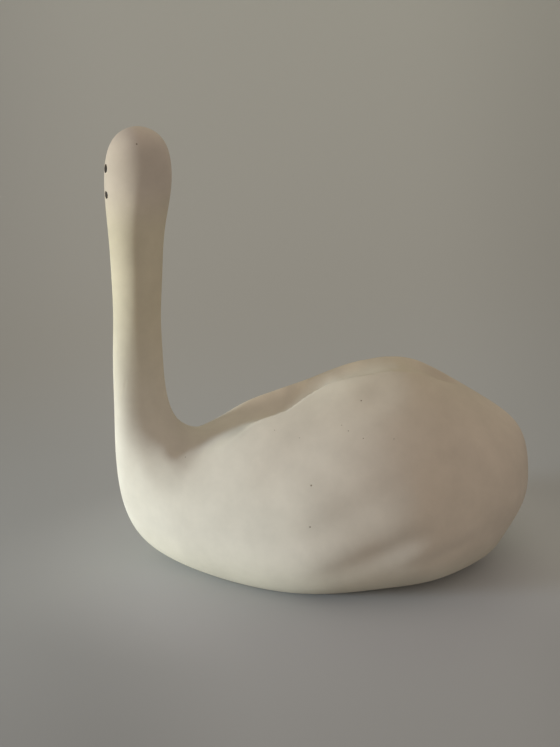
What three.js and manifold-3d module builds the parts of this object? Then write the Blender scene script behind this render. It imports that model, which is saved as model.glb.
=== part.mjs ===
// A small hand-modelled swan in unglazed white clay, about 194 mm long and 201 mm tall.
//
// Millimetres, +Z up. The swan looks towards -X, its left side is at -Y, and it stands on a
// flat foot at z = 0. The origin is under the middle of its length.
//
// The whole bird is one smooth skin: flat cross-sections that fan round from level ones in the
// neck to upright ones in the body. That skin is closed into a solid, ground flat underneath,
// and parted by thin cuts into the pieces that a person would name.

import * as THREE from 'three';
import { mergeVertices } from 'three/addons/utils/BufferGeometryUtils.js';
import Module from 'manifold-3d';

const wasm = await Module();
wasm.setup();

// ---- Driving dimensions -------------------------------------------------------------------

const PART_GAP = 0.3; // clear space between neighbouring pieces
const RINGS = 62; // cross-sections from crown to tail tip
const SIDES = 48; // facets round each cross-section
const CROWDING = 0.3; // draws the facets towards the back, where the folded wings meet

// Each cross-section runs from a point on the breast and belly line to a point on the back line.
// belly and back are superellipse exponents (2 is an ellipse, more is squarer), and narrow pulls
// the back side of the section in and lets the belly side out. A row that leaves them out has a
// plain ellipse.
const ELLIPSE = { belly: 2, back: 2, narrow: 0 };
const STATIONS = [
  { name: 'crown', front: [-80.5, 200.7], rear: [-80.5, 200.7], half: 0 },
  { name: 'forehead', front: [-90, 196.5], rear: [-71, 196.5], half: 10.5 },
  { name: 'brow', front: [-94.5, 186], rear: [-67, 186.5], half: 13.8 },
  { name: 'cheek', front: [-95.3, 173.5], rear: [-67.5, 173.5], half: 13.2,
    belly: 1.7, back: 1.7, narrow: 0.05 },
  { name: 'chin', front: [-94.8, 158], rear: [-70.4, 158], half: 12, belly: 1.7, back: 1.7, narrow: 0.15 },
  { name: 'nape', front: [-94.2, 139], rear: [-72.2, 139], half: 10, belly: 1.7, back: 1.7, narrow: 0.15 },
  { name: 'mid neck', front: [-94.5, 118], rear: [-73.5, 118], half: 8.5,
    belly: 1.8, back: 1.9, narrow: 0.15 },
  { name: 'lower neck', front: [-95.5, 95.5], rear: [-73.3, 98], half: 8.5, belly: 2.3, narrow: 0.15 },
  { name: 'neck root', front: [-96, 70], rear: [-71.5, 80], half: 11,
    belly: 2.7, back: 2.1, narrow: 0.15 },
  { name: 'breast', front: [-96, 45.5], rear: [-65.7, 69.8], half: 16.5, belly: 1.7, back: 2.4 },
  { name: 'keel', front: [-91, 21], rear: [-56, 67.5], half: 22, belly: 1.7, back: 1.8, narrow: -0.25 },
  { name: 'shoulder', front: [-75.5, 5], rear: [-45.5, 72], half: 30,
    belly: 2.2, back: 1.9, narrow: -0.1 },
  { name: 'ribs', front: [-46, -3.5], rear: [-26.5, 79.5], half: 42.5,
    belly: 2.7, back: 1.9, narrow: 0.05 },
  { name: 'waist', front: [-12.5, -6], rear: [-5.5, 86.7], half: 53, belly: 2.8, back: 1.8, narrow: 0.15 },
  { name: 'loin', front: [21, -5.5], rear: [16.5, 95.5], half: 55.5, belly: 2.5, back: 1.7, narrow: 0.2 },
  { name: 'hip', front: [49, -3], rear: [38, 96.5], half: 52.5, belly: 2.2, back: 1.9, narrow: 0.3 },
  { name: 'rump', front: [74, 2], rear: [57.5, 86.7], half: 43.5, back: 2.1, narrow: 0.1 },
  { name: 'tail root', front: [82.5, 11], rear: [80.5, 72.5], half: 36,
    belly: 1.6, back: 1.9, narrow: 0.05 },
  { name: 'tail end', front: [94.5, 24.5], rear: [92.5, 60.5], half: 13 },
  { name: 'tail tip', front: [97, 42.5], rear: [97, 42.5], half: 0 },
];

// The valley along the back between the folded wings. edge is the power of its cross-section:
// about 1 leaves a crisp wing edge, and 2 fades out softly.
const VALLEY = [
  { x: -74, half: 18, depth: 0, edge: 1.6 },
  { x: -58, half: 19, depth: 3, edge: 1.3 },
  { x: -46, half: 20, depth: 6.5, edge: 1.2 },
  { x: -32, half: 15.5, depth: 8.5, edge: 1.1 },
  { x: -18, half: 14.5, depth: 11, edge: 1 },
  { x: -9, half: 10, depth: 8.5, edge: 1 },
  { x: -3, half: 8, depth: 7.5, edge: 1 },
  { x: 3, half: 8, depth: 4.5, edge: 1 },
  { x: 9, half: 9.5, depth: 4.5, edge: 1.1 },
  { x: 18, half: 11, depth: 5, edge: 1.1 },
  { x: 28, half: 11, depth: 4.5, edge: 1.1 },
  { x: 36, half: 11.5, depth: 4, edge: 1 },
  { x: 43, half: 11.5, depth: 5.5, edge: 1 },
  { x: 49, half: 11.5, depth: 6.5, edge: 1 },
  { x: 55, half: 8.5, depth: 5, edge: 1 },
  { x: 60, half: 4.5, depth: 2, edge: 1 },
  { x: 64, half: 3, depth: 0, edge: 2 },
];
const VALLEY_TOP = 110; // the neck above this height has no valley

// Measured as the cosine of the turn away from the back, where the valley fades in, and where the
// section's power changes from the back's to the belly's.
const VALLEY_FADE = { none: 0.1, full: 0.45 };
const FLANK_BLEND = { back: 0.45, belly: 0.55 };
const CORNER_ROUND = 0.02; // square of the sine over which a section's corners are rounded

// Soft hollows and swellings on both flanks, placed in the side view: the middle, the half length
// and half width, the slant in degrees, and how far each presses in (less than 0 swells out).
// A form is a soft bell shape, and firm above 1 gives it a flatter floor with a steeper edge.
const FORMS = [
  { name: 'hollow by the neck root', x: -60.5, z: 76, long: 18, wide: 15, slant: 0,
    press: 3.3, firm: 1.5 },
  { name: 'pinch before the wing', x: -65.5, z: 62, long: 5, wide: 3, slant: 25, press: 1.3 },
  { name: 'shoulder swell', x: -42, z: 50, long: 16, wide: 13, slant: 60, press: -0.4, firm: 1.2 },
  { name: 'dent behind the shoulder', x: -22, z: 61, long: 18, wide: 7, slant: 40, press: 0.7 },
  { name: 'foot of the wing edge', x: 11, z: 82, long: 20, wide: 4, slant: 21, press: 0.5 },
  { name: 'upper flute', x: 4, z: 45, long: 26, wide: 8.5, slant: 23, press: 1.4 },
  { name: 'lower flute', x: 20, z: 27.5, long: 28, wide: 6, slant: 22, press: 1.6 },
  { name: 'tail flute', x: 47, z: 25, long: 22, wide: 4, slant: 14, press: 1 },
  { name: 'dent on the hip', x: 20, z: 94, long: 12, wide: 7.5, slant: 20, press: 2 },
];

const FLANK_FULL = 0.75; // sine of the turn away from the back at which a form has its full press

// Thin cuts across the bird, in the side view. lean turns the cut's upper side from straight up
// towards +X, in degrees, and the named piece is what lies on that upper side.
const PARTINGS = [
  { name: 'head', x: -82, z: 158, lean: 0 },
  { name: 'neck', x: -83.5, z: 76, lean: -17 },
  { name: 'breast', x: -62, z: 40, lean: -84 },
  { name: 'tail', x: 79, z: 45, lean: 80 },
];

// Each folded wing is the shell of the flank inside a slanted ellipse in the side view, out to the
// side of a plane that leans from the valley above to the flank below.
const WING = { x: 8, z: 66, long: 62, high: 30, slant: 14, inner: 16, lean: 22 };
const WING_OUTLINE_SIDES = 28; // facets in the wing's outline

// Two dark inlaid dots on the front of the head, one over the other. turn is how far round the
// head each sits from the front, in degrees towards the left side.
const EYES = [
  { name: 'eye_upper', z: 184, turn: 15, radius: 1.8 },
  { name: 'eye_lower', z: 173.2, turn: 15, radius: 1.5 },
];
const EYE_AXIS_X = -81.3; // the head's upright axis
const EYE_BACK = 12; // distance from that axis to the back of a dot
const EYE_SIDES = 20;

const REACH = 400; // side of a cutting block, larger than the bird
const MERGE_DISTANCE = 1e-4; // points closer than this are one point

// ---- Materials ----------------------------------------------------------------------------

const clay = new THREE.MeshStandardMaterial({ color: 0xd9d3c3, roughness: 0.92, metalness: 0 });
const darkSlip = new THREE.MeshStandardMaterial({ color: 0x2a221d, roughness: 0.6, metalness: 0 });

// ---- Curves -------------------------------------------------------------------------------

const LAST = STATIONS.length - 1;
const SPLINE_ROUNDS = 40; // enough for the slopes to settle
const ARC_STEPS = 2000; // steps in which the length of the bird is measured

/** Value at f, from 0 to 1, of the cubic from a to b with the given slopes. */
function hermite(a, b, slopeA, slopeB, f) {
  const f2 = f * f;
  const f3 = f2 * f;
  const weightB = 3 * f2 - 2 * f3;
  return a * (1 - weightB) + b * weightB + slopeA * (f3 - 2 * f2 + f) + slopeB * (f3 - f2);
}

/** A closed cubic spline through evenly spaced values, as a function of the station number. */
function closedSpline(values) {
  const count = values.length;
  const wrap = (i) => ((i % count) + count) % count;
  let slopes = values.map(() => 0);
  for (let round = 0; round < SPLINE_ROUNDS; round += 1) {
    const before = slopes;
    slopes = values.map((_, i) => {
      const chord = 3 * (values[wrap(i + 1)] - values[wrap(i - 1)]);
      return (chord - before[wrap(i - 1)] - before[wrap(i + 1)]) / 4;
    });
  }
  return (t) => {
    const i = Math.floor(t);
    const a = wrap(i);
    const b = wrap(i + 1);
    return hermite(values[a], values[b], slopes[a], slopes[b], t - i);
  };
}

/** Values out along the stations and back again, so a closed spline passes smoothly over both poles. */
function thereAndBack(values, returning = values, sign = 1) {
  const inner = returning.slice(1, LAST).reverse();
  return closedSpline([...values, ...inner.map((value) => sign * value)]);
}

const pick = (key) => STATIONS.map((station) => ({ ...ELLIPSE, ...station })[key]);
const lineX = thereAndBack(pick('rear').map((p) => p[0]), pick('front').map((p) => p[0]));
const lineZ = thereAndBack(pick('rear').map((p) => p[1]), pick('front').map((p) => p[1]));
const halfWidth = thereAndBack(pick('half'), pick('half'), -1);
const bellyPower = thereAndBack(pick('belly'));
const backPower = thereAndBack(pick('back'));
const narrowing = thereAndBack(pick('narrow'));

/** A smooth curve through one value of the valley's stations, as a function of x. */
function valleyCurve(key) {
  const slopes = VALLEY.map((here, i) => {
    if (i === 0 || i === VALLEY.length - 1) return 0;
    const last = VALLEY[i - 1];
    const next = VALLEY[i + 1];
    const run = here.x - last.x;
    const rise = next.x - here.x;
    const bend = run * run * (next[key] - here[key]) + rise * rise * (here[key] - last[key]);
    return bend / (run * rise * (run + rise));
  });
  return (x) => {
    const clamped = THREE.MathUtils.clamp(x, VALLEY[0].x, VALLEY.at(-1).x);
    const i = Math.min(VALLEY.findLastIndex((station) => station.x <= clamped), VALLEY.length - 2);
    const span = VALLEY[i + 1].x - VALLEY[i].x;
    const f = (clamped - VALLEY[i].x) / span;
    return hermite(VALLEY[i][key], VALLEY[i + 1][key], span * slopes[i], span * slopes[i + 1], f);
  };
}

const valleyHalf = valleyCurve('half');
const valleyDepth = valleyCurve('depth');
const valleyEdge = valleyCurve('edge');

// ---- The skin -----------------------------------------------------------------------------

/** How far the soft forms press the flank in at a place in the side view. */
function formDepth(x, z) {
  return FORMS.reduce((sum, form) => {
    const slant = THREE.MathUtils.degToRad(form.slant);
    const along = (x - form.x) * Math.cos(slant) + (z - form.z) * Math.sin(slant);
    const across = (z - form.z) * Math.cos(slant) - (x - form.x) * Math.sin(slant);
    const reach = (along / form.long) ** 2 + (across / form.wide) ** 2;
    return sum + form.press * Math.exp(-(reach ** (form.firm ?? 1)));
  }, 0);
}

/** How deep the valley is at a place on the back. */
function valleyAt(x, y, z) {
  if (x < VALLEY[0].x || z > VALLEY_TOP) return 0;
  const inside = Math.max(1 - (y / valleyHalf(x)) ** 2, 0);
  return Math.max(valleyDepth(x), 0) * inside ** valleyEdge(x);
}

/** A cosine or sine to a power, with the corner at 0 rounded off. */
function softPower(value, power) {
  return (value * value + CORNER_ROUND) ** (power / 2);
}

/** The skin's point in section t, at an angle round it: 0 on the back, pi on the belly. */
function skinPoint(t, angle) {
  const rear = [lineX(t), lineZ(t)];
  const front = [lineX(2 * LAST - t), lineZ(2 * LAST - t)];
  const up = [(rear[0] - front[0]) / 2, (rear[1] - front[1]) / 2];
  const c = Math.cos(angle);
  const s = Math.sin(angle);
  const towardsBelly = THREE.MathUtils.smoothstep(-c, -FLANK_BLEND.back, FLANK_BLEND.belly);
  const power = THREE.MathUtils.lerp(backPower(t), bellyPower(t), towardsBelly);
  const span = softPower(c, power) + softPower(s, power);
  const round = (span / (softPower(1, power) + softPower(0, power))) ** (-1 / power);
  const spoke = new THREE.Vector3(
    up[0] * round * c,
    halfWidth(t) * round * s * (1 - narrowing(t) * c),
    up[1] * round * c,
  );
  const centre = new THREE.Vector3((rear[0] + front[0]) / 2, 0, (rear[1] + front[1]) / 2);
  const plain = centre.clone().add(spoke);
  const flank = THREE.MathUtils.smoothstep(Math.abs(s), 0, FLANK_FULL);
  const pressed = spoke.setLength(spoke.length() - formDepth(plain.x, plain.z) * flank);
  const point = centre.add(pressed);
  const onBack = THREE.MathUtils.smoothstep(c, VALLEY_FADE.none, VALLEY_FADE.full);
  const depth = valleyAt(point.x, point.y, point.z) * onBack;
  const upLength = Math.hypot(up[0], up[1]);
  point.x -= (up[0] / upLength) * depth;
  point.z -= (up[1] / upLength) * depth;
  return point;
}

/** Section numbers spaced evenly along the mean of the back line and the belly line. */
function evenSections(count) {
  const travelled = [0];
  for (let i = 1; i <= ARC_STEPS; i += 1) {
    const from = ((i - 1) * LAST) / ARC_STEPS;
    const to = (i * LAST) / ARC_STEPS;
    const rear = Math.hypot(lineX(to) - lineX(from), lineZ(to) - lineZ(from));
    const front = Math.hypot(
      lineX(2 * LAST - to) - lineX(2 * LAST - from),
      lineZ(2 * LAST - to) - lineZ(2 * LAST - from),
    );
    travelled.push(travelled[i - 1] + (rear + front) / 2);
  }
  const sections = [];
  for (let ring = 1; ring < count; ring += 1) {
    const goal = (travelled[ARC_STEPS] * ring) / count;
    const i = travelled.findIndex((distance) => distance >= goal);
    const f = (goal - travelled[i - 1]) / (travelled[i] - travelled[i - 1]);
    sections.push(((i - 1 + f) * LAST) / ARC_STEPS);
  }
  return sections;
}

/** The closed skin: rings of points from crown to tail, with one point at each pole. */
function skinGeometry() {
  const positions = [];
  const triangles = [];
  const sections = evenSections(RINGS);
  for (const t of sections) {
    for (let side = 0; side < SIDES; side += 1) {
      const turn = (2 * Math.PI * side) / SIDES;
      const point = skinPoint(t, turn - CROWDING * Math.sin(turn));
      positions.push(point.x, point.y, point.z);
    }
  }
  const crown = sections.length * SIDES;
  const tip = crown + 1;
  positions.push(STATIONS[0].rear[0], 0, STATIONS[0].rear[1]);
  positions.push(STATIONS[LAST].rear[0], 0, STATIONS[LAST].rear[1]);
  for (let side = 0; side < SIDES; side += 1) {
    const next = (side + 1) % SIDES;
    for (let ring = 0; ring < sections.length - 1; ring += 1) {
      const here = ring * SIDES;
      const below = here + SIDES;
      triangles.push(here + side, below + next, here + next);
      triangles.push(here + side, below + side, below + next);
    }
    const lastRing = (sections.length - 1) * SIDES;
    triangles.push(crown, side, next);
    triangles.push(tip, lastRing + next, lastRing + side);
  }
  const geometry = new THREE.BufferGeometry();
  geometry.setAttribute('position', new THREE.Float32BufferAttribute(positions, 3));
  geometry.setIndex(triangles);
  return geometry;
}

// ---- Solids -------------------------------------------------------------------------------

/** A closed three.js geometry as a solid that can be cut. */
function toManifold(geometry) {
  const bare = geometry.clone();
  bare.deleteAttribute('normal');
  bare.deleteAttribute('uv');
  const merged = mergeVertices(bare, MERGE_DISTANCE);
  const vertProperties = new Float32Array(merged.attributes.position.array);
  const triVerts = new Uint32Array(merged.index.array);
  return new wasm.Manifold(new wasm.Mesh({ numProp: 3, vertProperties, triVerts }));
}

/** A solid back as a named mesh. */
function toMesh(name, solid, material) {
  const { vertProperties, triVerts } = solid.getMesh();
  const geometry = new THREE.BufferGeometry();
  geometry.setAttribute('position', new THREE.BufferAttribute(new Float32Array(vertProperties), 3));
  geometry.setIndex(new THREE.BufferAttribute(new Uint32Array(triVerts), 1));
  geometry.computeVertexNormals();
  const mesh = new THREE.Mesh(geometry, material);
  mesh.name = name;
  return mesh;
}

/** The block on the upper side of a cut, moved along the cut's own upward direction by shift. */
function blockAbove({ x, z, lean }, shift) {
  const block = new THREE.BoxGeometry(REACH, REACH, REACH);
  block.translate(0, 0, REACH / 2 + shift);
  block.rotateY(THREE.MathUtils.degToRad(lean));
  block.translate(x, 0, z);
  return toManifold(block);
}

/** The block that holds one wing, grown all round by grow. side is 1 for the left and -1 for the right. */
function wingBlock(side, grow) {
  const slant = side * THREE.MathUtils.degToRad(WING.slant);
  const outline = new THREE.Shape();
  outline.absellipse(WING.x, 0, WING.long + grow, WING.high + grow, 0, 2 * Math.PI, false, slant);
  const block = new THREE.ExtrudeGeometry(outline, {
    depth: REACH,
    curveSegments: WING_OUTLINE_SIDES,
    bevelEnabled: false,
  });
  block.translate(0, 0, WING.inner - grow);
  block.rotateX((side * Math.PI) / 2);
  block.rotateX(-side * THREE.MathUtils.degToRad(WING.lean));
  block.translate(0, 0, WING.z);
  return toManifold(block);
}

/** A round peg out through the front of the head at an eye, grown all round by grow. */
function eyePeg({ z, turn, radius }, grow) {
  const peg = new THREE.CylinderGeometry(radius + grow, radius + grow, REACH, EYE_SIDES);
  peg.rotateZ(Math.PI / 2);
  peg.translate(-REACH / 2 - EYE_BACK + grow, 0, 0);
  peg.rotateZ(THREE.MathUtils.degToRad(turn));
  peg.translate(EYE_AXIS_X, 0, z);
  return toManifold(peg);
}

/** The whole bird, centred over the origin and ground flat at z = 0. */
function wholeBird() {
  const skin = skinGeometry();
  skin.computeBoundingBox();
  const middle = skin.boundingBox.getCenter(new THREE.Vector3());
  skin.translate(-middle.x, 0, 0);
  return toManifold(skin).intersect(blockAbove({ x: 0, z: 0, lean: 0 }, 0));
}

// ---- The parted bird ----------------------------------------------------------------------

/** Every piece of the swan as a named mesh in one group. */
function buildSwan() {
  const swan = new THREE.Group();
  let rest = wholeBird();
  const pieces = new Map();
  for (const parting of PARTINGS) {
    pieces.set(parting.name, rest.intersect(blockAbove(parting, PART_GAP / 2)));
    rest = rest.subtract(blockAbove(parting, -PART_GAP / 2));
  }
  for (const eye of EYES) {
    const head = pieces.get('head');
    swan.add(toMesh(eye.name, head.intersect(eyePeg(eye, 0)), darkSlip));
    pieces.set('head', head.subtract(eyePeg(eye, PART_GAP)));
  }
  for (const [name, side] of [['wing_left', 1], ['wing_right', -1]]) {
    pieces.set(name, rest.intersect(wingBlock(side, 0)));
    rest = rest.subtract(wingBlock(side, PART_GAP));
  }
  pieces.set('trunk', rest);
  for (const [name, solid] of pieces) swan.add(toMesh(name, solid, clay));
  return swan;
}

export default buildSwan();
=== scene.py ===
"""A small hand-modelled swan in unglazed white clay, and a plain stage to show it on.

The swan is one closed skin: flat cross-sections that fan round from level ones in the neck to
upright ones in the body, with a valley between the folded wings and soft hollows left by fingers.
Two dark dots are inlaid in the front of the head. Shapes are worked out in millimetres and put
into their meshes in metres. The swan looks along -X, and its left side is at -Y.
"""

import math

import bpy
import numpy as np
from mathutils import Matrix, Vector


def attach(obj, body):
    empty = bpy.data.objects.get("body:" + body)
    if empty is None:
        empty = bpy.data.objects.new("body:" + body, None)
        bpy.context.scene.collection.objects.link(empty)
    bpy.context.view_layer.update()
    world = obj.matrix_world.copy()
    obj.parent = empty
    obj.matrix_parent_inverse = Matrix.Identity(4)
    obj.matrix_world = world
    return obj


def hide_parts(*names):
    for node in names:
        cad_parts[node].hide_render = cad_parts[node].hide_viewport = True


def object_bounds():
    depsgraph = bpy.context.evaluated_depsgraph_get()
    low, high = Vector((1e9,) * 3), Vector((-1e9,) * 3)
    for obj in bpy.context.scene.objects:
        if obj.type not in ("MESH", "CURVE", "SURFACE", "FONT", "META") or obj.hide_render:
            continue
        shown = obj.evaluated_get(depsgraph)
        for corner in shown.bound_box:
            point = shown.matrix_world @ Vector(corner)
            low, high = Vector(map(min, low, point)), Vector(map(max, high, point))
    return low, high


bl_info = {
    "name": "Clay Swan",
    "version": (1, 0, 0),
    "blender": (4, 5, 0),
    "location": "3D View > Sidebar > Clay Swan",
    "description": "Adds a small unglazed clay swan and a plain stage",
    "category": "Object",
}

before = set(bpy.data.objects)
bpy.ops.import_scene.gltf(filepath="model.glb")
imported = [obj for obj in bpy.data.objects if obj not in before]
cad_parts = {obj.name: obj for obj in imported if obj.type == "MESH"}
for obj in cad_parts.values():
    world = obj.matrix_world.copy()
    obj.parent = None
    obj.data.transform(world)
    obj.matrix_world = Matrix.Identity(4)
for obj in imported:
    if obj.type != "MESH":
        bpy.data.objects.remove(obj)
CAD_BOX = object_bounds()

MM = 0.001
SEED = 7
TINY = 1e-12  # keeps a division by a length from failing

# ---- Sizes of the swan, in millimetres ----------------------------------------------------

# name, front (x, z), rear (x, z), half width, belly power, back power, narrowing of the back
STATIONS = (
    ("crown", (-80.5, 200.7), (-80.5, 200.7), 0, 2, 2, 0),
    ("forehead", (-90, 196.5), (-71, 196.5), 10.5, 2, 2, 0),
    ("brow", (-94.5, 186), (-67, 186.5), 13.8, 2, 2, 0),
    ("cheek", (-95.3, 173.5), (-67.5, 173.5), 13.2, 1.7, 1.7, 0.05),
    ("chin", (-94.8, 158), (-70.4, 158), 12, 1.7, 1.7, 0.15),
    ("nape", (-94.2, 139), (-72.2, 139), 10, 1.7, 1.7, 0.15),
    ("mid neck", (-94.5, 118), (-73.5, 118), 8.5, 1.8, 1.9, 0.15),
    ("lower neck", (-95.5, 95.5), (-73.3, 98), 8.5, 2.3, 2, 0.15),
    ("neck root", (-96, 70), (-71.5, 80), 11, 2.7, 2.1, 0.15),
    ("breast", (-96, 45.5), (-65.7, 69.8), 16.5, 1.7, 2.4, 0),
    ("keel", (-91, 21), (-56, 67.5), 22, 1.7, 1.8, -0.25),
    ("shoulder", (-75.5, 5), (-45.5, 72), 30, 2.2, 1.9, -0.1),
    ("ribs", (-46, -3.5), (-26.5, 79.5), 42.5, 2.7, 1.9, 0.05),
    ("waist", (-12.5, -6), (-5.5, 86.7), 53, 2.8, 1.8, 0.15),
    ("loin", (21, -5.5), (16.5, 95.5), 55.5, 2.5, 1.7, 0.2),
    ("hip", (49, -3), (38, 96.5), 52.5, 2.2, 1.9, 0.3),
    ("rump", (74, 2), (57.5, 86.7), 43.5, 2, 2.1, 0.1),
    ("tail root", (82.5, 11), (80.5, 72.5), 36, 1.6, 1.9, 0.05),
    ("tail end", (94.5, 24.5), (92.5, 60.5), 13, 2, 2, 0),
    ("tail tip", (97, 42.5), (97, 42.5), 0, 2, 2, 0),
)
LAST = len(STATIONS) - 1

# x, half width, depth, edge: the valley along the back between the folded wings
VALLEY = np.array((
    (-74, 18, 0, 1.6),
    (-58, 19, 3, 1.3),
    (-46, 20, 6.5, 1.2),
    (-32, 15.5, 8.5, 1.1),
    (-18, 14.5, 11, 1),
    (-9, 10, 8.5, 1),
    (-3, 8, 7.5, 1),
    (3, 8, 4.5, 1),
    (9, 9.5, 4.5, 1.1),
    (18, 11, 5, 1.1),
    (28, 11, 4.5, 1.1),
    (36, 11.5, 4, 1),
    (43, 11.5, 5.5, 1),
    (49, 11.5, 6.5, 1),
    (55, 8.5, 5, 1),
    (60, 4.5, 2, 1),
    (64, 3, 0, 2),
))
VALLEY_TOP = 110  # the neck above this height has no valley
VALLEY_FADE = (0.1, 0.45)  # cosines of the turn between which the valley sets in
FLANK_BLEND = (-0.45, 0.55)  # cosines, negated, between which the back's power becomes the belly's
FLANK_FULL = 0.75  # sine of the turn from which a form has its full press
CORNER_ROUND = 0.02  # rounds the corners of the cross-sections

# x, z, half length, half width, slant in degrees, press, firmness
FORMS = (
    (-60.5, 76, 18, 15, 0, 3.3, 1.5),  # hollow by the neck root
    (-65.5, 62, 5, 3, 25, 1.3, 1),  # pinch before the wing
    (-42, 50, 16, 13, 60, -0.4, 1.2),  # shoulder swell
    (-22, 61, 18, 7, 40, 0.7, 1),  # dent behind the shoulder
    (11, 82, 20, 4, 21, 0.5, 1),  # foot of the wing edge
    (4, 45, 26, 8.5, 23, 1.4, 1),  # upper flute
    (20, 27.5, 28, 6, 22, 1.6, 1),  # lower flute
    (47, 25, 22, 4, 14, 1, 1),  # tail flute
    (20, 94, 12, 7.5, 20, 2, 1),  # dent on the hip
)

RINGS = 430  # cross-sections from the crown to the tail tip
SIDES = 220  # points round each
ARC_STEPS = 2000  # steps in which the length of the swan is measured
SPLINE_ROUNDS = 40  # rounds in which the slopes of a spline settle
FOOT_ROUND = 0.5  # height over which the skin eases into the flat foot

WAVE_LENGTHS = (18, 40)
WAVE_COUNT = 9
WAVE_FADE = (2, 14)  # heights between which the hand waves set in

HEAD_AXIS_X = -81.3  # upright axis of the head and neck
# name, height, turn to the left of the front in degrees, radius
EYES = (
    ("eye_upper", 184, 18, 1.8),
    ("eye_lower", 173, 16.5, 1.55),
)

DOT_RINGS = 12
DOT_SIDES = 48
DOT_SINK = 0.02  # how far a dot's rim lies below the skin
DOT_BACK = 0.6  # how far its hidden back lies below the skin
DOT_EDGE = 8  # power of the dome: a flat middle and a quick fall at the rim
SKIN_NEAR_DOT = 2.2  # in radii, how far round a dot the skin is fitted
DIMPLE_REACH = 1.15  # in radii, how far the dimple under a dot goes
CALM_REACH = 3  # in radii, where the hand waves have their full height again

# x, y, z, half length, half width, depth, tilt from upright in degrees
SCRATCHES = (
    (-90, -8.7, 90.5, 2.4, 0.3, 0.08, 8),
)
SCRATCH_SKIN = (-6, -3)  # outward of its place, where the skin begins to take a scratch

# x, y, z, radius
PINHOLES = (
    (-80.4, -11.9, 194.6, 0.36),
    (-11.6, -45.5, 55.7, 0.4),
    (-12.6, -51.3, 39.2, 0.36),
    (12.8, -22.5, 84.9, 0.36),
    (5.7, -33.3, 75.1, 0.25),
    (11.6, -37.2, 73, 0.25),
    (24.6, -38.5, 72.8, 0.22),
    (-25.3, -23.1, 72.6, 0.22),
    (-15, -29.5, 71.1, 0.2),
    (3.2, -30.3, 76.7, 0.2),
    (-64.5, -17.1, 58.8, 0.25),
)

# x, y, z, radius, brightness: soft spots of painted shade and painted light on the clay
PAINTED_SHADE_AND_LIGHT = (
    (-67, -6, 67, 15, 0.85),  # painted shade in the crook of the neck
    (-40.5, -13, 69, 6, 0.76),  # painted shadow of the neck where the left wing begins
    (-76, -12, 188, 12, 0.87),  # painted shade on the back of the head
    (-40, 18, 69, 5, 1.3),  # painted light on the rim of the right wing, from here up to its middle
    (-34, 16, 73, 5, 1.3),
    (-28, 15, 76, 5, 1.3),
    (-20, 15, 79, 5, 1.3),
    (-11, 12, 83, 5, 1.2),
    (13, 7, 91, 6, 1.15),  # painted light on the valley floor
    (54, 6, 85.5, 8, 0.92),  # painted shade where the back falls to the tail
)

FLESH = ("head", "neck", "breast", "trunk", "wing_left", "wing_right", "tail")

# ---- Places in the clay's colour and in the stage paint, in metres ------------------------

# where one colour of the clay turns into the next, along x or z
# the tail's colour is the clay's with painted shade: pinker and a little darker away from the main
# light
PAINTED_SHADE_TAIL_X = (-0.06, 0.06)
# low on the body the clay is yellowed as painted bounce light from the floor
PAINTED_BOUNCE_Z = (0.004, 0.03)
NECK_COLOUR_Z = (0.06, 0.13)
HEAD_COLOUR_Z = (0.155, 0.18)
MOTTLE_SPREAD = (0.3, 0.7)  # noise values taken as the darkest and the palest mottle
MOTTLE_TONES = (0.93, 1.05)
MOTTLE_ROUGHNESS = (0.82, 0.95)
GRAIN_SHARE = 0.35  # height of the fine grain beside that of the lumps
PINHOLE_RIM = (0.6, 1.2)  # in radii, where a pinhole starts to fade and where it ends
PINHOLE_SINK = 6  # depth of a pinhole beside the height of the lumps

# painted shade: the stage paint darkens towards the sides and the front of the picture
FAN_POINT_Y = -0.46  # the point of the fan that the stage's side shade follows
FAN_MIDDLE = 0.02  # slope of the fan's middle line: x for each metre from its point
FAN_SHADE = (0.12, 0.34)  # slopes away from it between which the side shade sets in
FRONT_SHADE_Y = (-0.24, 0)  # where the shade at the front ends
# painted light on the floor beside both ends of the swan
PAINTED_LIGHT_OVAL = (1, 1.6, 0)  # x, y and z are multiplied by this for the painted light's distance
PAINTED_LIGHT_REACH = (0.105, 0.175)  # such distances between which the painted light dies away
PAINTED_LIGHT_MIDDLE_X = 0.015
PAINTED_LIGHT_ENDS = (0.045, 0.1)  # distances along x from its middle between which it sets in

# ---- Stage, in metres and degrees ---------------------------------------------------------

STAGE_WIDTH = 6
STAGE_FRONT_Y = -1.5
CURVE_START_Y = 0.15
CURVE_RADIUS = 1.2
CURVE_STEPS = 49
STAGE_TOP = 2.6

CAMERA_AZIMUTH = -5
CAMERA_HEIGHT = 18
CAMERA_TARGET = (-0.0214, 0, 0.091)
SENSOR_WIDTH = 36  # millimetres

KEY_CONE = 34
KEY_RADIUS = 0.11
SOFT_SIZE = (0.22, 0.25)
LOW_SIZE = (0.16, 0.06)
LOW_DISTANCE = 0.6
LOW_Z = 0.03  # both of the low light and of the place it points at
LOW_AIM_X = -0.05
BACK_SIZE = (1.4, 0.8)
BACK_DISTANCE = 0.9
BACK_Z = 0.8
SWAN_MIDDLE = (0, 0, 0.07)  # where the soft and the back light point


# ---- Curves -------------------------------------------------------------------------------


def closed_spline(values, at):
    """Closed cubic spline through evenly spaced rows.

    The slopes m settle to m[i-1] + 4 m[i] + m[i+1] = 3 (v[i+1] - v[i-1]).
    """
    values = np.asarray(values, float).reshape(len(values), -1)
    slopes = np.zeros_like(values)
    chords = 3 * (np.roll(values, -1, 0) - np.roll(values, 1, 0))
    for _ in range(SPLINE_ROUNDS):
        slopes = (chords - np.roll(slopes, 1, 0) - np.roll(slopes, -1, 0)) / 4
    here = np.floor(at).astype(int) % len(values)
    after = (here + 1) % len(values)
    f = (at - np.floor(at))[:, None]
    return hermite(values[here], values[after], slopes[here], slopes[after], f)


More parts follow.
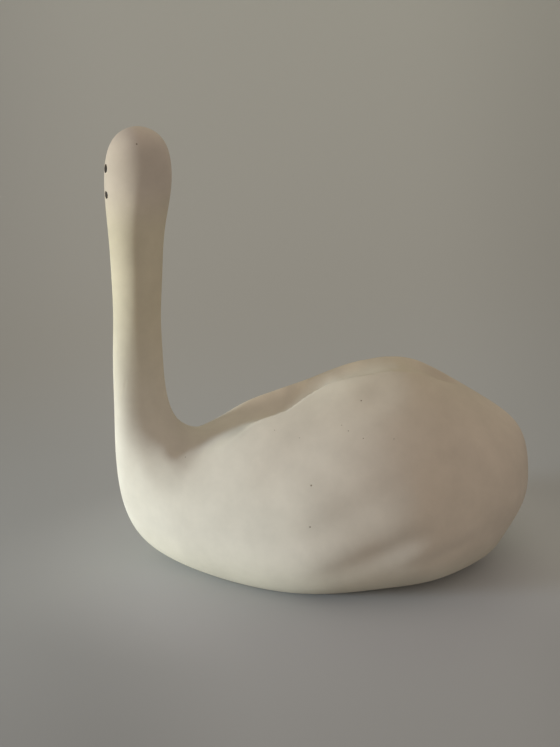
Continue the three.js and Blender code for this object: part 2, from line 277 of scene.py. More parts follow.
def hermite(a, b, slope_a, slope_b, f):
    """Cubic from a to b, with the slopes at both ends.

    a (1 - w) + b w + slope_a (f^3 - 2 f^2 + f) + slope_b (f^3 - f^2), with w = 3 f^2 - 2 f^3.
    """
    weight = 3 * f**2 - 2 * f**3
    return a * (1 - weight) + b * weight + slope_a * (f**3 - 2 * f**2 + f) + slope_b * (f**3 - f**2)


def smooth_step(value, low, high):
    """0 below low, 1 above high, and 3 f^2 - 2 f^3 between."""
    f = np.clip((value - low) / (high - low), 0, 1)
    return f * f * (3 - 2 * f)


def valley_curve(x, column):
    """Cubic through one column of the valley's rows, with each slope taken from the neighbours."""
    xs, values = VALLEY[:, 0], VALLEY[:, column]
    slopes = np.gradient(values, xs)
    slopes[[0, -1]] = 0
    x = np.clip(x, xs[0], xs[-1])
    i = np.clip(np.searchsorted(xs, x, side="right") - 1, 0, len(xs) - 2)
    span = xs[i + 1] - xs[i]
    f = (x - xs[i]) / span
    return hermite(values[i], values[i + 1], span * slopes[i], span * slopes[i + 1], f)


def section_lines(t):
    """Rear point, front point, and the half width, belly power, back power and narrowing at t.

    The stations are run through as a closed loop, down the rear and back up the front, and the
    half width is negative on the way back, so that the skin closes smoothly at both poles.
    """
    front = np.array([row[1] for row in STATIONS], float)
    rear = np.array([row[2] for row in STATIONS], float)
    numbers = np.array([row[3:] for row in STATIONS], float)
    returning = numbers[-2:0:-1] * np.array([-1, 1, 1, 1])
    outline = np.vstack([rear, front[-2:0:-1]])
    numbers = np.vstack([numbers, returning])
    back = closed_spline(outline, t)
    belly = closed_spline(outline, (2 * LAST - t) % (2 * LAST))
    return back, belly, closed_spline(numbers, t)


# ---- The clay skin ------------------------------------------------------------------------


def even_sections(count):
    """Section numbers evenly spaced along the mean of the back and belly lines, poles left out."""
    t = np.linspace(0, LAST, ARC_STEPS + 1)
    back, belly, _ = section_lines(t)
    steps = [np.linalg.norm(np.diff(line, axis=0), axis=1) for line in (back, belly)]
    travelled = np.concatenate([[0], np.cumsum(sum(steps) / 2)])
    return np.interp(np.linspace(0, travelled[-1], count + 1), travelled, t)[1:-1]


def soft_power(value, power):
    """A cosine or sine to a power, with the corner at 0 rounded off: (v^2 + round)^(p / 2)."""
    return (value * value + CORNER_ROUND) ** (power / 2)


def skin_points(t, turn):
    """The skin at section t (rows) and turn round it (columns, 0 on the back, pi on the belly).

    The turn goes down the left side first. The spoke from the section's middle is up r cos(turn)
    + half width r sin(turn) (1 - narrow cos(turn)), with r = (|cos|^p + |sin|^p)^(-1/p), its
    corners rounded. Each soft form shortens it by press exp(-(q^firm)), q being the squared
    distance in half lengths and half widths, and less near the back and belly lines. The valley
    then lowers the back by depth max(1 - (y / half)^2, 0)^edge.
    """
    back, belly, numbers = section_lines(t)
    half, belly_power, back_power, narrow = (numbers[:, i : i + 1] for i in range(4))
    up = (back - belly) / 2
    middle = (back + belly) / 2
    c, s = np.cos(turn)[None, :], np.sin(turn)[None, :]
    power = back_power + (belly_power - back_power) * smooth_step(-c, *FLANK_BLEND)
    span = soft_power(c, power) + soft_power(s, power)
    r = (span / (soft_power(1, power) + soft_power(0, power))) ** (-1 / power)
    spoke = np.stack([up[:, :1] * r * c, half * r * s * (1 - narrow * c), up[:, 1:] * r * c], -1)
    centre = np.stack([middle[:, 0], np.zeros(len(t)), middle[:, 1]], -1)[:, None, :]
    plain = centre + spoke
    press = form_depth(plain[..., 0], plain[..., 2]) * smooth_step(np.abs(s), 0, FLANK_FULL)
    length = np.maximum(np.linalg.norm(spoke, axis=-1), TINY)
    points = centre + spoke * (1 - press / length)[..., None]
    x, y, z = np.moveaxis(points, -1, 0)
    inside = np.clip(1 - (y / valley_curve(x, 1)) ** 2, 0, 1) ** valley_curve(x, 3)
    depth = inside * np.maximum(valley_curve(x, 2), 0) * smooth_step(c, *VALLEY_FADE)
    depth = np.where((x >= VALLEY[0, 0]) & (z <= VALLEY_TOP), depth, 0)
    unit = up / np.linalg.norm(up, axis=1, keepdims=True)
    points[..., 0] -= unit[:, :1] * depth
    points[..., 2] -= unit[:, 1:] * depth
    points[..., 1] *= -1
    return points


def form_depth(x, z):
    """Sum of the soft forms at a place in the side view."""
    total = np.zeros_like(x)
    for form_x, form_z, long, wide, slant, press, firm in FORMS:
        c, s = math.cos(math.radians(slant)), math.sin(math.radians(slant))
        along = (x - form_x) * c + (z - form_z) * s
        across = (z - form_z) * c - (x - form_x) * s
        total += press * np.exp(-(((along / long) ** 2 + (across / wide) ** 2) ** firm))
    return total


def grid_normals(points):
    """Unit normals of a grid closed round its columns: across steps crossed with along steps."""
    along = np.gradient(points, axis=0)
    across = np.roll(points, -1, 1) - np.roll(points, 1, 1)
    normals = np.cross(across, along)
    return normals / np.maximum(np.linalg.norm(normals, axis=-1, keepdims=True), TINY)


def hand_waves(points, height, lengths, count, rng):
    """Low waves left by hands, in millimetres.

    The sum of sines of random direction, length and phase, times height sqrt(2 / count).
    """
    total = np.zeros(points.shape[:-1])
    for _ in range(count):
        direction = rng.normal(size=3)
        direction /= np.linalg.norm(direction)
        length = rng.uniform(*lengths)
        total += np.sin(points @ direction * (2 * np.pi / length) + rng.uniform(0, 2 * np.pi))
    return total * height * math.sqrt(2 / count)


def scratch_depth(points):
    """Short grooves: depth exp(-(along / long)^4 - (across / wide)^2), along nearly upright.

    The skin on the far side of the head and neck is left out.
    """
    total = np.zeros(points.shape[:-1])
    for x, y, z, long, wide, depth, tilt in SCRATCHES:
        away = points - (x, y, z)
        outward = np.array([x - HEAD_AXIS_X, y, 0]) / math.hypot(x - HEAD_AXIS_X, y)
        level = np.array([-outward[1], outward[0], 0])
        c, s = math.cos(math.radians(tilt)), math.sin(math.radians(tilt))
        across = away @ level * c - away[..., 2] * s
        along = away @ level * s + away[..., 2] * c
        near = smooth_step(away @ outward, *SCRATCH_SKIN)
        total += near * depth * np.exp(-((along / long) ** 4) - (across / wide) ** 2)
    return total


def eye_places():
    """The plain skin, and each eye's name, radius, middle, outward, level and upright directions.

    A level ray leaves the head's axis at the eye's height and turn, and the middle is where it
    passes the nearest skin point.
    """
    grid = skin_points(even_sections(RINGS), np.linspace(0, 2 * np.pi, SIDES, endpoint=False))
    normals = grid_normals(grid)
    places = []
    for name, height, turn, radius in EYES:
        ray = np.array([-math.cos(math.radians(turn)), -math.sin(math.radians(turn)), 0])
        away = grid - (HEAD_AXIS_X, 0, height)
        off_ray = np.linalg.norm(away - (away @ ray)[..., None] * ray, axis=-1)
        off_ray = np.where(away @ ray > 0, off_ray, np.inf)
        at = np.unravel_index(np.argmin(off_ray), off_ray.shape)
        outward = normals[at]
        middle = np.array([HEAD_AXIS_X, 0, height]) + ray * (away[at] @ ray)
        level = np.cross((0, 0, 1), outward)
        level /= np.linalg.norm(level)
        places.append((name, radius, middle, outward, level, np.cross(outward, level)))
    return grid, places


def skin_grid(settings):
    """The finished skin: the plain one, moved along its normals by waves, grooves and dimples.

    A dimple is eye dimple exp(-(distance / reach)^6), and the waves are calmed round it. Below
    the foot's round, height becomes (height + round)^2 / (4 round), and 0 below minus the round.
    """
    rng = np.random.default_rng(SEED)
    points, places = eye_places()
    normals = grid_normals(points)
    push = hand_waves(points, settings.wave_height / MM, WAVE_LENGTHS, WAVE_COUNT, rng)
    push *= smooth_step(points[..., 2], *WAVE_FADE)
    push -= scratch_depth(points)
    for _, radius, middle, *_ in places:
        away = np.linalg.norm(points - middle, axis=-1)
        push *= smooth_step(away, radius, radius * CALM_REACH)
        push -= settings.eye_dimple / MM * np.exp(-((away / (radius * DIMPLE_REACH)) ** 6))
    points = points + normals * push[..., None]
    height = points[..., 2]
    eased = (height + FOOT_ROUND) ** 2 / (4 * FOOT_ROUND)
    eased = np.where(height < -FOOT_ROUND, 0, eased)
    points[..., 2] = np.where(height > FOOT_ROUND, height, eased)
    return points


def brightness_of_painted_light(points):
    """Painted shade and light on the clay: the product of 1 + (brightness - 1) exp(-(distance /
    radius)^2).
    """
    total = np.ones(points.shape[:-1])
    for x, y, z, radius, brightness in PAINTED_SHADE_AND_LIGHT:
        away = np.linalg.norm(points - (x, y, z), axis=-1)
        total *= 1 + (brightness - 1) * np.exp(-((away / radius) ** 2))
    return total


def frame_shift(points):
    """The move along x, in millimetres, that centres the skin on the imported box."""
    low, high = CAD_BOX
    return (low.x + high.x) / 2 / MM - (points[..., 0].min() + points[..., 0].max()) / 2


def closed_grid(points, first_pole, last_pole):
    """Points, quads and triangles of a grid closed round its columns, with a pole at each end."""
    rows, columns = points.shape[:2]
    flat = np.vstack([points.reshape(-1, 3), first_pole, last_pole])
    row = np.arange(rows - 1)[:, None] * columns
    side = np.arange(columns)[None, :]
    after = (side + 1) % columns
    quads = np.stack([row + side, row + columns + side, row + columns + after, row + after], -1)
    side, after = side[0], after[0]
    end = (rows - 1) * columns
    first = np.stack([np.full(columns, rows * columns), side, after], -1)
    last = np.stack([np.full(columns, rows * columns + 1), end + after, end + side], -1)
    return flat, quads.reshape(-1, 4), np.vstack([first, last])


def add_piece(name, points, quads, triangles, material):
    """A smooth mesh object from whole arrays, with points in millimetres."""
    mesh = bpy.data.meshes.new(name)
    corners = np.concatenate([quads.ravel(), triangles.ravel()]).astype(np.int32)
    sizes = np.concatenate([np.full(len(quads), 4), np.full(len(triangles), 3)])
    starts = np.concatenate([[0], np.cumsum(sizes)[:-1]]).astype(np.int32)
    mesh.vertices.add(len(points))
    mesh.vertices.foreach_set("co", (points * MM).astype(np.float32).ravel())
    mesh.loops.add(len(corners))
    mesh.loops.foreach_set("vertex_index", corners)
    mesh.polygons.add(len(starts))
    mesh.polygons.foreach_set("loop_start", starts)
    mesh.update(calc_edges=True)
    if mesh.validate():
        raise RuntimeError(f"the mesh of {name} had faults")
    mesh.shade_smooth()
    mesh.materials.append(material)
    piece = bpy.data.objects.new(name, mesh)
    bpy.context.scene.collection.objects.link(piece)
    return piece


def bowl_terms(u, v):
    """The terms 1, u, v, u^2, u v and v^2 of a quadratic surface."""
    return np.stack([np.ones_like(u), u, v, u * u, u * v, v * v], -1)


def dot_points(proud, grid, place):
    """A closed inlaid dot on the skin: a dome over a shallow back, both following the skin.

    The skin near the dot is a quadratic in the level and upright distances, fitted by least
    squares. The front stands proud (1 - (r / R)^8) - sink above it, and the back lies a fixed
    depth below it. Returns the grid, the front's middle and the back's middle.
    """
    _, radius, middle, outward, level, upright = place
    away = grid - middle
    near = np.linalg.norm(away, axis=-1) < radius * SKIN_NEAR_DOT
    u, v, w = (away[near] @ axis for axis in (level, upright, outward))
    fit = np.linalg.lstsq(bowl_terms(u, v), w, rcond=None)[0]
    share = np.linspace(0, 1, DOT_RINGS + 1)[1:]
    dome = proud * (1 - share**DOT_EDGE) - DOT_SINK
    lift = np.concatenate([dome, np.full(DOT_RINGS - 1, -DOT_BACK)])[:, None]
    r = radius * np.concatenate([share, share[-2::-1]])[:, None]
    turn = np.linspace(0, 2 * np.pi, DOT_SIDES, endpoint=False)
    u = r * np.cos(turn)
    v = r * np.sin(turn)
    w = bowl_terms(u, v) @ fit + lift
    points = middle + u[..., None] * level + v[..., None] * upright + w[..., None] * outward
    front = middle + outward * (fit[0] + proud - DOT_SINK)
    back = middle + outward * (fit[0] - DOT_BACK)
    return points, front, back


# ---- Materials ----------------------------------------------------------------------------


def node(tree, kind, at, links=(), **values):
    """Adds a node at a place in the editor, sets its attributes, and wires or sets its inputs."""
    made = tree.nodes.new(kind)
    made.location = at
    for name, value in values.items():
        setattr(made, name, value)
    for socket, source in dict(links).items():
        if isinstance(source, bpy.types.NodeSocket):
            tree.links.new(source, made.inputs[socket])
        else:
            made.inputs[socket].default_value = source
    return made


def new_group(name, inputs, outputs):
    """An empty shader node group with named sockets, and its input and output nodes."""
    group = bpy.data.node_groups.new(name, "ShaderNodeTree")
    for label, kind, default in inputs:
        socket = group.interface.new_socket(name=label, in_out="INPUT", socket_type=kind)
        if default is not None:
            socket.default_value = default
    for label, kind in outputs:
        group.interface.new_socket(name=label, in_out="OUTPUT", socket_type=kind)
    source = group.nodes.new("NodeGroupInput")
    source.location = (-900, 0)
    sink = group.nodes.new("NodeGroupOutput")
    sink.location = (700, 0)
    return group, source, sink


def maths(tree, at, operation, *values):
    """The result of a maths node with these inputs."""
    return node(tree, "ShaderNodeMath", at, enumerate(values), operation=operation).outputs[0]


def ramp(tree, at, value, span, ends=(0, 1), kind="SMOOTHSTEP"):
    """The value mapped from a span to its ends and held there, smoothly unless kind is LINEAR."""
    return node(tree, "ShaderNodeMapRange", at, {
        "Value": value, "From Min": span[0], "From Max": span[1], "To Min": ends[0], "To Max": ends[1],
    }, interpolation_type=kind).outputs["Result"]


def mixed(tree, at, factor, low, high):
    """The colour that goes from low to high as factor goes from 0 to 1."""
    mix = node(tree, "ShaderNodeMix", at, {0: factor}, data_type="RGBA")
    for socket, colour in ((6, low), (7, high)):
        if isinstance(colour, bpy.types.NodeSocket):
            tree.links.new(colour, mix.inputs[socket])
        else:
            mix.inputs[socket].default_value = (*colour, 1)
    return mix.outputs[2]


def scaled(tree, at, colour, factor):
    """The colour times the factor."""
    scale = node(tree, "ShaderNodeVectorMath", at, {0: colour, "Scale": factor}, operation="SCALE")
    return scale.outputs["Vector"]


def new_material(name):
    """A node material, its tree, its shader and the socket with its Object coordinates."""
    material = bpy.data.materials.new(name)
    material.use_nodes = True
    tree = material.node_tree
    place = node(tree, "ShaderNodeTexCoord", (-1700, 0)).outputs["Object"]
    return material, tree, tree.nodes["Principled BSDF"], place


def shared_group(name, make):
    """The shared node group of this name, made on first use."""
    return bpy.data.node_groups.get(name) or make(name)


def grain_group(name):
    """Fired clay grain: a height from two noises, and a soft light and dark mottle."""
    group, source, sink = new_group(
        name,
        [
            ("Vector", "NodeSocketVector", None),
            ("Grain scale", "NodeSocketFloat", 1500.0),
            ("Lump scale", "NodeSocketFloat", 260.0),
            ("Mottle scale", "NodeSocketFloat", 55.0),
        ],
        [("Height", "NodeSocketFloat"), ("Mottle", "NodeSocketFloat")],
    )
    noises = []
    for number, (scale, detail, roughness) in enumerate((
        ("Grain scale", 3.0, 0.6),
        ("Lump scale", 2.0, 0.5),
        ("Mottle scale", 4.0, 0.62),
    )):
        noise = node(group, "ShaderNodeTexNoise", (-600, 200 - 260 * number), {
            "Vector": source.outputs["Vector"], "Scale": source.outputs[scale],
            "Detail": detail, "Roughness": roughness,
        })
        noises.append(noise.outputs["Fac"])
    grain, lumps, mottle = noises
    height = maths(group, (-300, 100), "MULTIPLY_ADD", grain, GRAIN_SHARE, lumps)
    group.links.new(height, sink.inputs["Height"])
    group.links.new(mottle, sink.inputs["Mottle"])
    return group


def pinhole_group(name):
    """One round pinhole: 1 in its middle, falling smoothly to 0 just past its radius.

    The mask is the greater of this and the mask of the other pinholes.
    """
    group, source, sink = new_group(
        name,
        [
            ("Vector", "NodeSocketVector", None),
            ("Middle", "NodeSocketVector", None),
            ("Radius", "NodeSocketFloat", 0.0004),
            ("Others", "NodeSocketFloat", 0.0),
        ],
        [("Mask", "NodeSocketFloat")],
    )
    away = node(group, "ShaderNodeVectorMath", (-600, 100), {
        0: source.outputs["Vector"], 1: source.outputs["Middle"],
    }, operation="DISTANCE")
    share = maths(group, (-400, 100), "DIVIDE", away.outputs["Value"], source.outputs["Radius"])
    mask = ramp(group, (-200, 100), share, PINHOLE_RIM, (1, 0))
    both = maths(group, (200, 0), "MAXIMUM", mask, source.outputs["Others"])
    group.links.new(both, sink.inputs["Mask"])
    return group


def clay_material(settings, shift):
    """Unglazed white clay: soft changes of colour, painted light and shade, mottle, grain, pinholes.

    The breast's colour turns into the tail's along x; the tail's is pinker and a little darker, as
    painted shade on the end away from the main light. Along z the foot's, yellowed as painted bounce
    light from the floor, lies below these, and the neck's and then the head's above them. The result
    is multiplied by the mottle's tone and by the skin's own attribute of painted shade and painted
    light. The pinholes are painted dark, as painted shade inside them.
    """
    material, tree, shader, place = new_material("Unglazed clay")
    grain = node(tree, "ShaderNodeGroup", (-1400, 200), {"Vector": place},
                 node_tree=shared_group("Clay grain", grain_group))
    parts = node(tree, "ShaderNodeSeparateXYZ", (-1400, -200), {0: place})
    # towards the tail the clay is painted pinker and a little darker, as painted shade
    to_painted_shade_tail = ramp(tree, (-1150, -460), parts.outputs["X"], PAINTED_SHADE_TAIL_X)
    # low on the body the clay is yellowed as painted bounce light from the floor
    off_painted_bounce = ramp(tree, (-1150, -980), parts.outputs["Z"], PAINTED_BOUNCE_Z)
    up_neck = ramp(tree, (-1150, -200), parts.outputs["Z"], NECK_COLOUR_Z)
    up_head = ramp(tree, (-1150, -720), parts.outputs["Z"], HEAD_COLOUR_Z)
    colour = mixed(tree, (-900, -300), to_painted_shade_tail, settings.breast_colour, settings.tail_colour_with_painted_shade)
    colour = mixed(tree, (-780, -420), off_painted_bounce, settings.foot_colour_with_painted_bounce, colour)
    colour = mixed(tree, (-650, -200), up_neck, colour, settings.neck_colour)
    colour = mixed(tree, (-520, -320), up_head, colour, settings.head_colour)
    mottle = grain.outputs["Mottle"]
    tone = ramp(tree, (-1150, 100), mottle, MOTTLE_SPREAD, MOTTLE_TONES, "LINEAR")
    # the skin's spots of painted shade and painted light multiply the colour
    painted_shading = node(tree, "ShaderNodeAttribute", (-1150, 350), attribute_name="painted_shading")
    tone = maths(tree, (-650, 150), "MULTIPLY", tone, painted_shading.outputs["Fac"])
    colour = scaled(tree, (-400, -100), colour, tone)
    holes = 0.0
    for number, (x, y, z, radius) in enumerate(PINHOLES):
        holes = node(tree, "ShaderNodeGroup", (-1150 + 180 * number, 500), {
            "Vector": place, "Middle": ((x + shift) * MM, y * MM, z * MM),
            "Radius": radius * MM, "Others": holes,
        }, node_tree=shared_group("Pinhole", pinhole_group)).outputs["Mask"]
    # the pinholes are painted dark, as painted shade inside them
    colour = mixed(tree, (-150, 0), holes, colour, settings.pinhole_painted_shade)
    rough = ramp(tree, (-400, -400), mottle, MOTTLE_SPREAD, MOTTLE_ROUGHNESS, "LINEAR")
    height = grain.outputs["Height"]
    height = maths(tree, (-400, 300), "MULTIPLY_ADD", holes, -PINHOLE_SINK, height)
    bump = node(tree, "ShaderNodeBump", (-150, 300), {
        "Strength": 0.35, "Distance": 0.00012, "Height": height,
    })
    tree.links.new(colour, shader.inputs["Base Color"])
    tree.links.new(rough, shader.inputs["Roughness"])
    tree.links.new(bump.outputs["Normal"], shader.inputs["Normal"])
    shader.inputs["Specular IOR Level"].default_value = 0.2
    return material


def eye_material(settings):
    """Matte dark slip, nearly black, with the clay's own grain and a finer mottle."""
    material, tree, shader, place = new_material("Dark slip")
    grain = node(tree, "ShaderNodeGroup", (-800, 0), {"Vector": place, "Mottle scale": 700.0},
                 node_tree=shared_group("Clay grain", grain_group))
    tone = ramp(tree, (-550, 100), grain.outputs["Mottle"], MOTTLE_SPREAD, kind="LINEAR")
    colour = mixed(tree, (-300, 100), tone, settings.slip_dark, settings.slip_light)
    bump = node(tree, "ShaderNodeBump", (-300, -200), {
        "Strength": 0.4, "Distance": 0.00008, "Height": grain.outputs["Height"],
    })
    tree.links.new(colour, shader.inputs["Base Color"])
    tree.links.new(bump.outputs["Normal"], shader.inputs["Normal"])
    shader.inputs["Roughness"].default_value = 0.55
    shader.inputs["Specular IOR Level"].default_value = 0.35
    return material


def stage_material(settings):
    """Plain matte stage paint, with painted shade towards the front and the sides of the picture.

    The side shade grows with |x / (y - point) - middle|, so that it follows a fan that opens
    towards the back. Painted light makes the floor a little lighter beside both ends of the swan: by
    the painted floor light, times what is left of it at the oval distance, times how far
    |x - middle| is along.
    """
    material, tree, shader, place = new_material("Stage paint")
    parts = node(tree, "ShaderNodeSeparateXYZ", (-1300, 0), {0: place})
    x, y = parts.outputs["X"], parts.outputs["Y"]
    inward = maths(tree, (-1100, -100), "SUBTRACT", y, FAN_POINT_Y)
    slope = maths(tree, (-900, 0), "DIVIDE", x, inward)
    aside = maths(tree, (-700, 0), "SUBTRACT", slope, FAN_MIDDLE)
    aside = maths(tree, (-550, 0), "ABSOLUTE", aside)
    sides = ramp(tree, (-400, 0), aside, FAN_SHADE, (1, settings.painted_edge_shade))
    front = ramp(tree, (-400, -300), y, FRONT_SHADE_Y, (settings.painted_edge_shade, 1))
    shade = maths(tree, (-200, -100), "MULTIPLY", sides, front)
    # painted light on the floor beside both ends of the swan
    oval = node(tree, "ShaderNodeVectorMath", (-1100, -600), {
        0: place, 1: PAINTED_LIGHT_OVAL,
    }, operation="MULTIPLY")
    reach = node(tree, "ShaderNodeVectorMath", (-900, -600), {
        0: oval.outputs["Vector"],
    }, operation="LENGTH")
    near = ramp(tree, (-650, -600), reach.outputs["Value"], PAINTED_LIGHT_REACH, (1, 0))
    along = maths(tree, (-900, -800), "SUBTRACT", x, PAINTED_LIGHT_MIDDLE_X)
    along = maths(tree, (-750, -800), "ABSOLUTE", along)
    ends = ramp(tree, (-550, -800), along, PAINTED_LIGHT_ENDS, (0, settings.painted_floor_light))
    lift = maths(tree, (-350, -700), "MULTIPLY_ADD", near, ends, 1)
    shade = maths(tree, (-200, -300), "MULTIPLY", shade, lift)
    colour = scaled(tree, (-50, 0), tuple(settings.floor_colour), shade)
    tree.links.new(colour, shader.inputs["Base Color"])
    shader.inputs["Roughness"].default_value = 1.0
    shader.inputs["Specular IOR Level"].default_value = 0.2
    return material


# ---- Stage --------------------------------------------------------------------------------


def sweep_points():
    """Points and quads of a floor that curves up into a wall, in metres.

    The profile is a flat run, a quarter circle (start + radius sin, radius - radius cos) and a
    rise, carried along x.
    """
    turn = np.linspace(0, np.pi / 2, CURVE_STEPS)
    y = CURVE_START_Y + CURVE_RADIUS * np.sin(turn)
    z = CURVE_RADIUS - CURVE_RADIUS * np.cos(turn)
    y = np.concatenate([[STAGE_FRONT_Y], y, y[-1:]])
    z = np.concatenate([[0], z, [STAGE_TOP]])
    x = np.array([-STAGE_WIDTH / 2, STAGE_WIDTH / 2])
    grid = np.stack(np.broadcast_arrays(x[:, None], y[None, :], z[None, :]), -1)
    count = len(y)
    low = np.arange(count - 1)
    return grid.reshape(-1, 3), np.stack([low, low + count, low + count + 1, low + 1], -1)


def hang_light(light, power, colour, place, aim):
    """Puts a light in the scene at a place, turned to face aim."""
    light.energy = power
    light.color = colour
    lamp = bpy.data.objects.new(light.name, light)
    bpy.context.scene.collection.objects.link(lamp)
    lamp.location = place
    lamp.rotation_euler = (aim - place).to_track_quat("-Z", "Y").to_euler()


def add_spot(name, power, colour, place, aim, cone, radius):
    """A spot with a soft edge, its cone in degrees and its radius in metres."""
    light = bpy.data.lights.new(name, "SPOT")
    light.spot_size = math.radians(cone)
    light.spot_blend = 1.0
    light.shadow_soft_size = radius
    hang_light(light, power, colour, place, aim)


def add_panel(name, power, colour, place, aim, size):
    """A rectangular soft light, its width and height in metres."""
    light = bpy.data.lights.new(name, "AREA")
    light.shape = "RECTANGLE"
    light.size, light.size_y = size
    hang_light(light, power, colour, place, aim)


def camera_axes():
    """The camera's level directions to its right and forward."""
    azimuth = math.radians(CAMERA_AZIMUTH)
    right = Vector((math.cos(azimuth), math.sin(azimuth), 0))
    return right, Vector((-right.y, right.x, 0))


def add_lights(settings):
    """The main light, a soft one at its place, a low one, a wide one behind, and the room's light."""
    right, forward = camera_axes()
    towards = -right * math.cos(settings.key_turn) - forward * math.sin(settings.key_turn)
    middle = Vector(SWAN_MIDDLE)
    key_place = towards * settings.key_distance + Vector((0, 0, settings.key_height))
    low_place = towards * LOW_DISTANCE + Vector((0, 0, LOW_Z))
    back_place = forward * BACK_DISTANCE + Vector((0, 0, BACK_Z))
    # the key points as far below the floor as it hangs above it
    key_aim = Vector((0, 0, -settings.key_height))
    low_aim = Vector((LOW_AIM_X, 0, LOW_Z))
    key = (settings.key_power, settings.key_colour, key_place, key_aim)
    soft = (settings.soft_power, settings.soft_colour, key_place, middle)
    low = (settings.low_power, settings.low_colour, low_place, low_aim)
    back = (settings.back_power, settings.back_colour, back_place, middle)
    add_spot("key_light", *key, KEY_CONE, KEY_RADIUS)
    add_panel("soft_light", *soft, SOFT_SIZE)
    add_panel("low_light", *low, LOW_SIZE)
    add_panel("back_light", *back, BACK_SIZE)
    world = bpy.data.worlds.new("Room")
    world.use_nodes = True
    background = world.node_tree.nodes["Background"]
    background.inputs["Color"].default_value = (*settings.room_colour, 1)
    background.inputs["Strength"].default_value = settings.room_strength
    bpy.context.scene.world = world
    bpy.context.scene.view_settings.view_transform = "Standard"


def add_camera(settings):
    """The camera, at its distance from the target along its azimuth and height."""
    forward = camera_axes()[1]
    height = math.radians(CAMERA_HEIGHT)
    back = Vector((0, 0, math.sin(height))) - forward * math.cos(height)
    camera = bpy.data.cameras.new("camera")
    camera.lens = settings.camera_lens
    camera.sensor_width = SENSOR_WIDTH
    camera.sensor_fit = "AUTO"
    holder = bpy.data.objects.new("camera", camera)
    bpy.context.scene.collection.objects.link(holder)
    holder.location = Vector(CAMERA_TARGET) + back * settings.camera_distance
    holder.rotation_euler = (-back).to_track_quat("-Z", "Y").to_euler()
    bpy.context.scene.camera = holder


# ---- Settings -----------------------------------------------------------------------------


def colour_property(name, description, default):
    """A colour setting."""
    return bpy.props.FloatVectorProperty(
        name=name, description=description, default=default, subtype="COLOR", size=3, min=0, max=1
    )


def length_property(name, description, default):
    """A length setting, in metres."""
    return bpy.props.FloatProperty(
        name=name, description=description, default=default, unit="LENGTH", min=0, precision=5
    )


def share_property(name, description, default):
    """A setting between 0 and 1."""
    return bpy.props.FloatProperty(
        name=name, description=description, default=default, subtype="FACTOR", min=0, max=1
    )


def power_property(name, description, default):
    """The power of a light, in watts."""
    return bpy.props.FloatProperty(
        name=name, description=description, default=default, unit="POWER", min=0
    )


class ClaySwanSettings(bpy.types.PropertyGroup):
    """Sizes and colours of the swan."""

    wave_height: length_property("Wave height", "Height of the low waves that hands left", 0.00004)
    eye_dimple: length_property("Eye dimple", "How deep the clay is pressed in under each dot", 0.00025)
    eye_proud: length_property("Eye dome", "How far each dark dot bulges", 0.00012)
    breast_colour: colour_property("Breast colour", "Clay on the breast", (0.64, 0.60, 0.525))
    neck_colour: colour_property("Neck colour", "Clay on the neck", (0.625, 0.575, 0.45))
    head_colour: colour_property("Head colour", "Clay on the head", (0.625, 0.565, 0.495))
    # the clay's colour yellowed as painted bounce light from the floor
    foot_colour_with_painted_bounce: colour_property("Foot colour", "Clay low on the body", (0.64, 0.60, 0.50))
    # the clay's colour with painted shade: pinker and a little darker on the end away from the main
    # light
    tail_colour_with_painted_shade: colour_property("Tail colour", "Clay towards the tail", (0.63, 0.565, 0.485))
    # painted shade inside the pinholes
    pinhole_painted_shade: colour_property("Pinhole colour", "Inside of a pinhole", (0.24, 0.20, 0.155))
    slip_dark: colour_property("Dark slip", "Darker tone of the dots", (0.012, 0.009, 0.007))
    slip_light: colour_property("Light slip", "Lighter tone of the dots", (0.03, 0.022, 0.016))


class ClaySwanStageSettings(bpy.types.PropertyGroup):
    """Floor, lights and camera."""

    floor_colour: colour_property("Floor colour", "Floor and backdrop", (0.485, 0.50, 0.518))
    # painted shade of the stage paint at the sides and front
    painted_edge_shade: share_property("Edge shade", "Brightness of the paint at the sides and front", 0.84)
    # painted light on the floor beside the swan
    painted_floor_light: share_property("Floor glow", "How much lighter the floor is beside the swan", 0.15)
    key_power: power_property("Key power", "Power of the main light", 39.6)
    key_colour: colour_property("Key colour", "Colour of the main light", (0.60, 0.81, 1.0))
    key_turn: bpy.props.FloatProperty(
        name="Key turn", description="Turn of the main light from the side towards the camera",
        default=math.radians(13), subtype="ANGLE",
    )
    key_distance: length_property("Key distance", "Distance of the main light from the swan", 1.2)
    key_height: length_property("Key height", "Height of the main light", 0.12)
    soft_power: power_property("Soft power", "Power of the wide light at the main one", 2.6)
    soft_colour: colour_property("Soft colour", "Colour of the soft light", (0.61, 0.75, 1.0))
    low_power: power_property("Low power", "Power of the light near the floor", 1.4)
    low_colour: colour_property("Low colour", "Colour of the low light", (1.0, 0.88, 0.55))
    back_power: power_property("Back power", "Power of the light behind the swan", 1.7)
    back_colour: colour_property("Back colour", "Colour of the back light", (0.96, 1.0, 0.61))
    room_colour: colour_property("Room colour", "Light from the room", (1.0, 0.87, 0.75))
    room_strength: bpy.props.FloatProperty(
        name="Room strength", description="Strength of the light from the room", default=0.504, min=0
    )
    camera_lens: bpy.props.FloatProperty(
        name="Camera lens", description="Focal length of the camera", default=50, unit="CAMERA", min=1
    )
    camera_distance: length_property("Camera distance", "Distance of the camera from its target", 0.470)


# ---- Operators ----------------------------------------------------------------------------


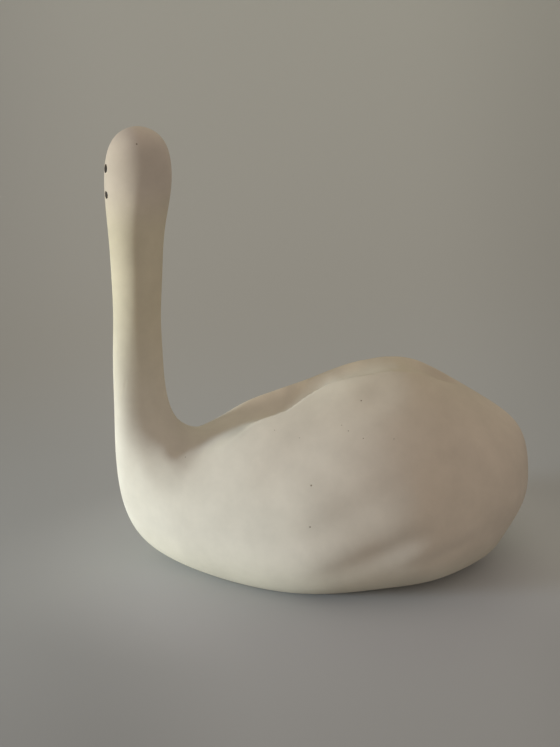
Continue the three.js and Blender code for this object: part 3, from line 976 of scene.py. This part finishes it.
class CLAYSWAN_OT_skin(bpy.types.Operator):
    """Add the swan's clay skin, from crown to tail"""

    bl_idname = "clayswan.skin"
    bl_label = "Clay Skin"

    def execute(self, context):
        settings = context.scene.clay_swan
        points = skin_grid(settings)
        shift = frame_shift(points)
        crown, tip = ((x, 0, z) for x, z in (STATIONS[0][1], STATIONS[LAST][1]))
        points, quads, triangles = closed_grid(points, crown, tip)
        # brightness of the painted shade and painted light at each point
        brightness = brightness_of_painted_light(points)
        points[:, 0] += shift
        skin = add_piece("swan_skin", points, quads, triangles, clay_material(settings, shift))
        painted_shading = skin.data.attributes.new("painted_shading", "FLOAT", "POINT")
        painted_shading.data.foreach_set("value", brightness.astype(np.float32))
        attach(skin, "root")
        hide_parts(*FLESH)
        return {"FINISHED"}


class CLAYSWAN_OT_eyes(bpy.types.Operator):
    """Add the two dark dots in the front of the head"""

    bl_idname = "clayswan.eyes"
    bl_label = "Eye Dots"

    def execute(self, context):
        settings = context.scene.clay_swan
        material = eye_material(settings)
        grid, places = eye_places()
        shift = frame_shift(grid)
        for place in places:
            points, quads, triangles = closed_grid(*dot_points(settings.eye_proud / MM, grid, place))
            points[:, 0] += shift
            name = place[0]
            eye = add_piece(name + "_dot", points, quads, triangles, material)
            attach(eye, "root")
            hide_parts(name)
        return {"FINISHED"}


class CLAYSWAN_OT_stage(bpy.types.Operator):
    """Add the floor, the soft lights and the camera"""

    bl_idname = "clayswan.stage"
    bl_label = "Stage"

    def execute(self, context):
        settings = context.scene.clay_swan_stage
        points, quads = sweep_points()
        no_triangles = np.zeros((0, 3), int)
        paint = stage_material(settings)
        add_piece("stage_floor", points / MM, quads, no_triangles, paint)
        add_lights(settings)
        add_camera(settings)
        return {"FINISHED"}


class CLAYSWAN_PT_sidebar(bpy.types.Panel):
    """Settings and buttons of the clay swan"""

    bl_idname = "CLAYSWAN_PT_sidebar"
    bl_label = "Clay Swan"
    bl_space_type = "VIEW_3D"
    bl_region_type = "UI"
    bl_category = "Clay Swan"

    def draw(self, context):
        for operator, settings in (
            (CLAYSWAN_OT_skin, context.scene.clay_swan),
            (CLAYSWAN_OT_stage, context.scene.clay_swan_stage),
        ):
            box = self.layout.box()
            for name in settings.__annotations__:
                box.prop(settings, name)
            box.operator(operator.bl_idname)
            if operator is CLAYSWAN_OT_skin:
                box.operator(CLAYSWAN_OT_eyes.bl_idname)


CLASSES = (
    ClaySwanSettings,
    ClaySwanStageSettings,
    CLAYSWAN_OT_skin,
    CLAYSWAN_OT_eyes,
    CLAYSWAN_OT_stage,
    CLAYSWAN_PT_sidebar,
)


def register():
    """Registers the classes and puts their settings on the scene."""
    for made in CLASSES:
        bpy.utils.register_class(made)
    bpy.types.Scene.clay_swan = bpy.props.PointerProperty(type=ClaySwanSettings)
    bpy.types.Scene.clay_swan_stage = bpy.props.PointerProperty(type=ClaySwanStageSettings)


def unregister():
    """Takes the settings off the scene and unregisters the classes."""
    del bpy.types.Scene.clay_swan_stage
    del bpy.types.Scene.clay_swan
    for made in reversed(CLASSES):
        bpy.utils.unregister_class(made)


def main():
    """Adds every piece in order."""
    register()
    bpy.ops.clayswan.skin()
    bpy.ops.clayswan.eyes()
    bpy.ops.clayswan.stage()


if __name__ == "__main__":
    main()
